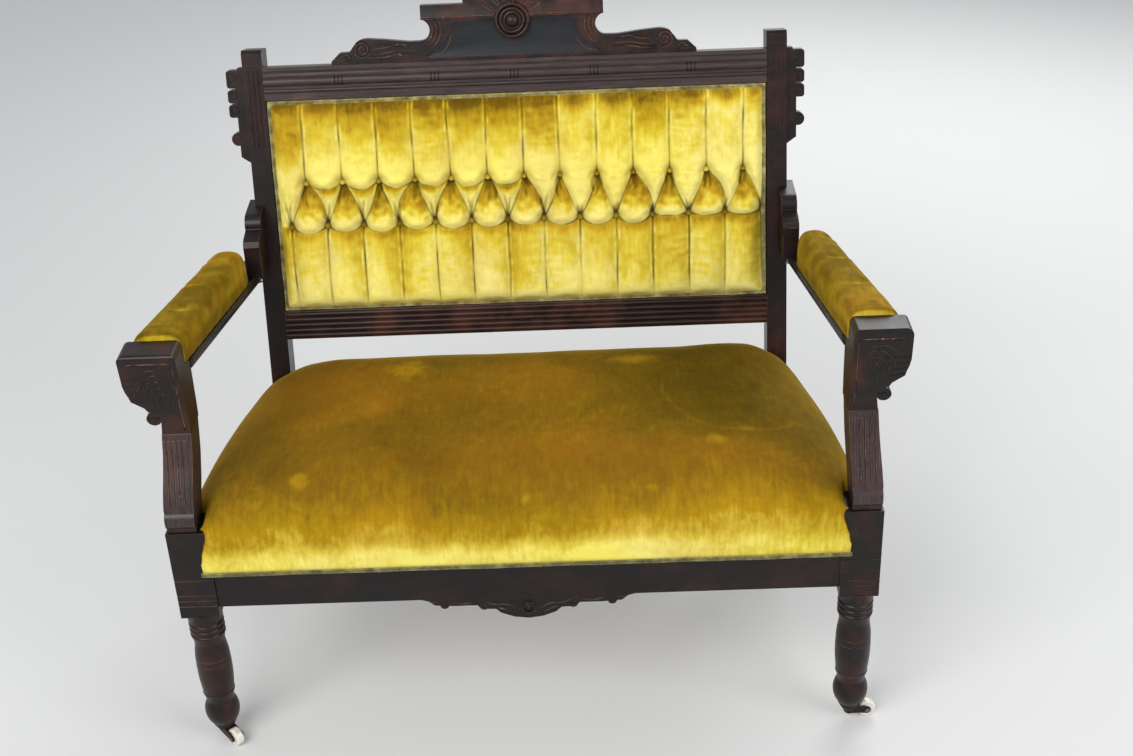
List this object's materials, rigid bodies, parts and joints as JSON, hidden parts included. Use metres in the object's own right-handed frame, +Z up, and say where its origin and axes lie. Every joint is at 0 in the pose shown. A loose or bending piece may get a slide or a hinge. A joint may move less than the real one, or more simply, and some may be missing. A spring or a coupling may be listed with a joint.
{
  "type": "settee",
  "caption": "Parlour settee with carved show-wood frame, tufted back, crowned sprung seat, padded arms and swivel casters.",
  "frame": {"origin": "on the floor, at the middle of the object's width and depth", "axes": "+X to the right seen from the front, +Y towards the back, +Z up"},
  "size_m": [1.124, 0.6214, 1.0646],
  "materials": {
    "show_wood": "dark stained and varnished hardwood, worn",
    "frame_wood": "bare hardwood",
    "velvet": "mustard gold cut velvet over padding",
    "braid": "woven gimp braid",
    "jute": "woven jute webbing and hessian",
    "steel": "plain steel, dulled",
    "iron": "dark cast iron",
    "porcelain": "glazed white ceramic"
  },
  "bodies": {
    "frame": {"rear_post_left": "show_wood", "rear_post_right": "show_wood", "post_ear_left": "show_wood", "post_ear_right": "show_wood", "top_rail": "show_wood", "crest_board": "show_wood", "crest_block": "show_wood", "crest_roundel": "show_wood", "lower_back_rail": "show_wood", "seat_rail_front": "show_wood", "seat_rail_rear": "frame_wood", "seat_rail_left": "show_wood", "seat_rail_right": "show_wood", "corner_blocks": "frame_wood", "apron_drop": "show_wood", "front_leg_left": "show_wood", "front_leg_right": "show_wood", "arm_support_left": "show_wood", "arm_support_right": "show_wood", "arm_head_left": "show_wood", "arm_head_right": "show_wood", "arm_rail_left": "show_wood", "arm_rail_right": "show_wood", "arm_riser_left": "show_wood", "arm_riser_right": "show_wood", "arm_screws": "steel", "dowels": "frame_wood", "seat_webbing": "jute", "seat_springs": "steel", "seat_deck": "jute", "seat_cushion": "velvet", "seat_gimp": "braid", "back_panel_frame": "frame_wood", "back_webbing": "jute", "back_cushion": "velvet", "back_gimp": "braid", "back_outer_cover": "velvet", "tuft_buttons": "velvet", "arm_pad_left": "velvet", "arm_pad_right": "velvet", "arm_gimp_left": "braid", "arm_gimp_right": "braid", "caster_socket_front_left": "iron", "caster_socket_front_right": "iron", "caster_socket_rear_left": "iron", "caster_socket_rear_right": "iron"},
    "horn_front_left": {"caster_horn_front_left": "iron", "caster_axle_front_left": "steel"},
    "wheel_front_left": {"caster_wheel_front_left": "porcelain"},
    "horn_front_right": {"caster_horn_front_right": "iron", "caster_axle_front_right": "steel"},
    "wheel_front_right": {"caster_wheel_front_right": "porcelain"},
    "horn_rear_left": {"caster_horn_rear_left": "iron", "caster_axle_rear_left": "steel"},
    "wheel_rear_left": {"caster_wheel_rear_left": "porcelain"},
    "horn_rear_right": {"caster_horn_rear_right": "iron", "caster_axle_rear_right": "steel"},
    "wheel_rear_right": {"caster_wheel_rear_right": "porcelain"}
  },
  "joints": [
    {"name": "swivel_front_left", "type": "hinge", "parent": "frame", "child": "horn_front_left", "pos_m": [-0.502, -0.27543, 0.0282], "axis": [0, 0, 1], "continuous": true},
    {"name": "roll_front_left", "type": "hinge", "parent": "horn_front_left", "child": "wheel_front_left", "pos_m": [-0.48255, -0.29557, 0.0145], "axis": [0.7193, 0.6947, 0], "continuous": true},
    {"name": "swivel_front_right", "type": "hinge", "parent": "frame", "child": "horn_front_right", "pos_m": [0.502, -0.27543, 0.0282], "axis": [0, 0, 1], "continuous": true},
    {"name": "roll_front_right", "type": "hinge", "parent": "horn_front_right", "child": "wheel_front_right", "pos_m": [0.52973, -0.27154, 0.0145], "axis": [-0.1392, 0.9903, 0], "continuous": true},
    {"name": "swivel_rear_left", "type": "hinge", "parent": "frame", "child": "horn_rear_left", "pos_m": [-0.4245, 0.23669, 0.0282], "axis": [0, 0, 1], "continuous": true},
    {"name": "roll_rear_left", "type": "hinge", "parent": "horn_rear_left", "child": "wheel_rear_left", "pos_m": [-0.44988, 0.22485, 0.0145], "axis": [0.4226, -0.9063, 0], "continuous": true},
    {"name": "swivel_rear_right", "type": "hinge", "parent": "frame", "child": "horn_rear_right", "pos_m": [0.4245, 0.23669, 0.0282], "axis": [0, 0, 1], "continuous": true},
    {"name": "roll_rear_right", "type": "hinge", "parent": "horn_rear_right", "child": "wheel_rear_right", "pos_m": [0.45081, 0.22711, 0.0145], "axis": [0.342, 0.9397, 0], "continuous": true}
  ]
}
